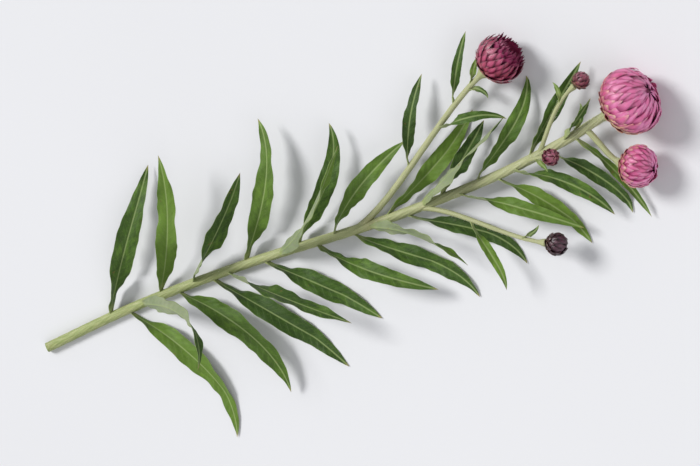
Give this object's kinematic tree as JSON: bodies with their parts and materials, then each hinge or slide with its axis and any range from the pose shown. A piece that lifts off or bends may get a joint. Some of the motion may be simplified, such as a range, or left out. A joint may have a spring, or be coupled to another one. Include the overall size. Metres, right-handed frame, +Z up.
{
  "type": "strawflower stem",
  "caption": "Cut strawflower stem lying on its side, with lanceolate leaves, side stalks, globe-shaped papery flower heads and closed buds.",
  "frame": {"origin": "middle of the whole stem's footprint, on the surface that it lies on", "axes": "+X along the stem from its cut end to its flower heads, +Z straight up from the surface"},
  "size_m": [0.4169, 0.1674, 0.0509],
  "materials": {
    "stem": "ribbed pale green stem with fine hairs",
    "leaf": "matt green leaf, paler below",
    "pink_bracts": "papery pink, satin",
    "crimson_bracts": "papery crimson, satin",
    "burgundy_bracts": "papery dark burgundy, satin",
    "disc": "matt orange florets"
  },
  "bodies": {
    "root": {"stem": "stem", "leaf_01": "leaf", "leaf_02": "leaf", "leaf_03": "leaf", "leaf_04": "leaf", "leaf_05": "leaf", "leaf_06": "leaf", "leaf_07": "leaf", "leaf_08": "leaf", "leaf_09": "leaf", "leaf_10": "leaf", "leaf_11": "leaf", "leaf_12": "leaf", "leaf_13": "leaf", "leaf_14": "leaf", "leaf_15": "leaf", "leaf_16": "leaf", "leaf_17": "leaf", "leaf_18": "leaf", "leaf_19": "leaf", "leaf_20": "leaf", "leaf_21": "leaf", "leaf_22": "leaf", "leaf_23": "leaf", "leaf_24": "leaf", "leaf_25": "leaf", "leaf_26": "leaf", "leaf_27": "leaf", "leaf_fork_right": "leaf", "leaf_fork_left": "leaf", "leaf_left_stalk": "leaf", "leaf_left_under": "leaf", "leaf_right_stalk": "leaf", "head_main_bracts": "pink_bracts", "head_right_bracts": "pink_bracts", "head_left_bracts": "crimson_bracts", "head_left_disc": "disc", "bud_right_bracts": "burgundy_bracts", "bud_left_bracts": "crimson_bracts", "bud_upper_bracts": "crimson_bracts"}
  },
  "joints": []
}
